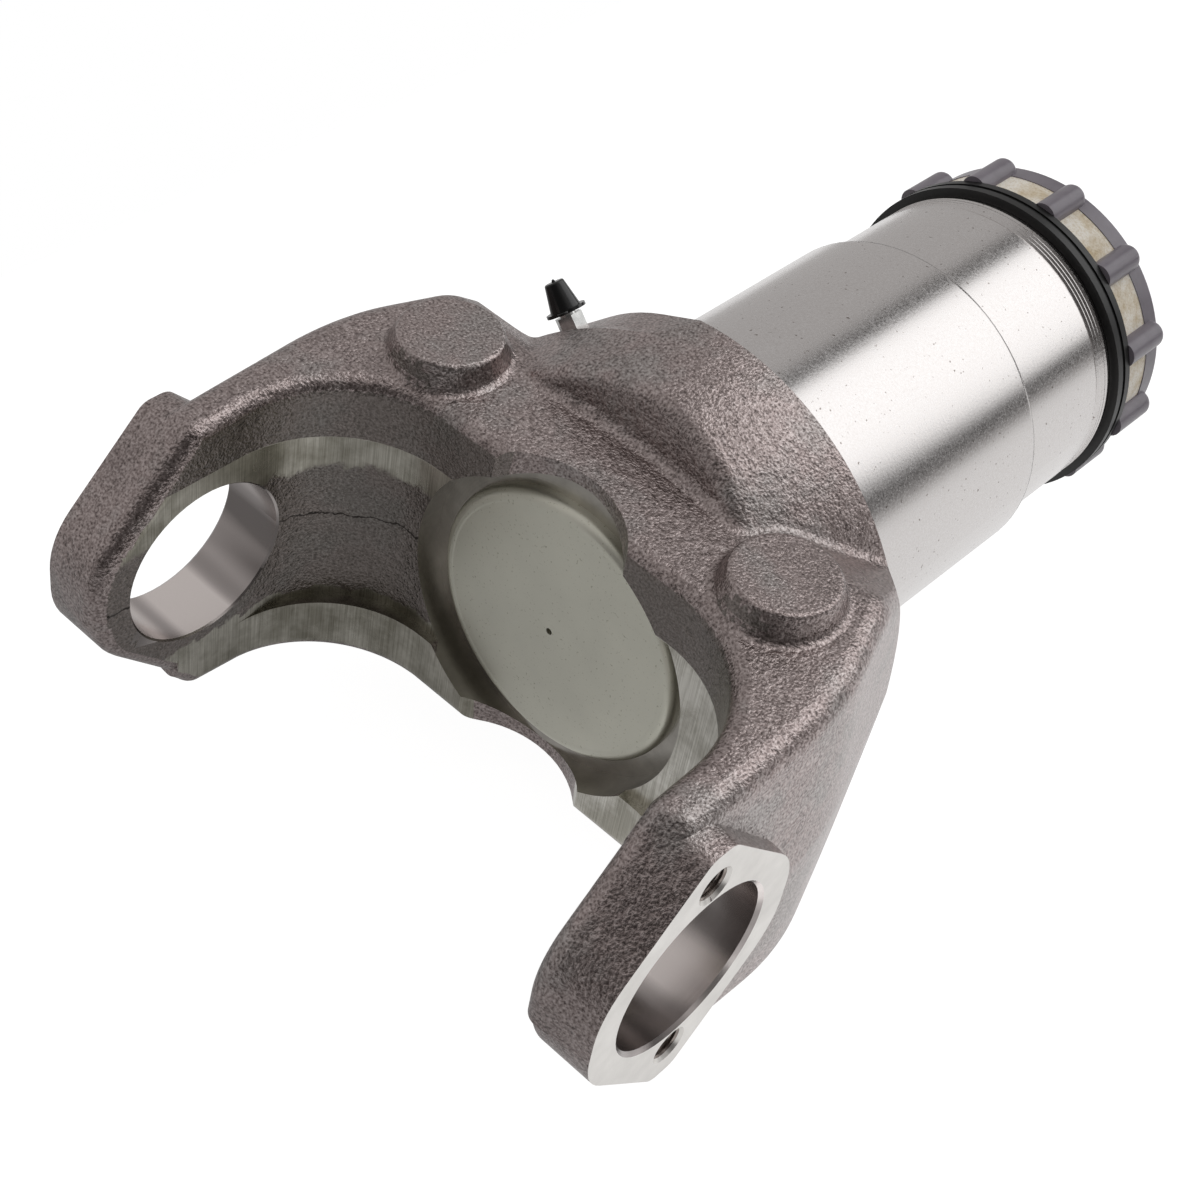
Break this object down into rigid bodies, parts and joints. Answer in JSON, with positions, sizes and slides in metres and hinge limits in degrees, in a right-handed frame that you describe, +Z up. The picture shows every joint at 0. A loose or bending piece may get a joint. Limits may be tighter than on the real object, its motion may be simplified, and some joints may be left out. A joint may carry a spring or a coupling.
{
  "type": "slip yoke",
  "caption": "Forged slip yoke of a propeller shaft: two bored ears on curved arms, a hub with a core plug and a machined sleeve with a ribbed seal nut.",
  "frame": {"origin": "where the cross-bore axis of the two ears meets the shaft axis", "axes": "+X along the cross bore, +Y along the shaft axis from the ears to the sleeve's open end, +Z up, on the side with the raised pads and the nipple"},
  "size_m": [0.1916, 0.3126, 0.1426],
  "materials": {
    "forging": "shot-blasted forged steel, with ground and turned faces on the ears and the sleeve",
    "plug": "pressed sheet steel, satin",
    "nipple": "zinc-plated steel",
    "cap": "moulded black plastic",
    "nut": "moulded nylon, dark violet grey",
    "wiper": "pressed felt",
    "seal": "moulded rubber",
    "ring": "moulded rubber"
  },
  "bodies": {
    "root": {"yoke": "forging", "core_plug": "plug", "grease_nipple": "nipple", "nipple_cap": "cap", "seal_nut": "nut", "wiper": "wiper", "lip_seal": "seal", "dust_ring": "ring"}
  },
  "joints": []
}
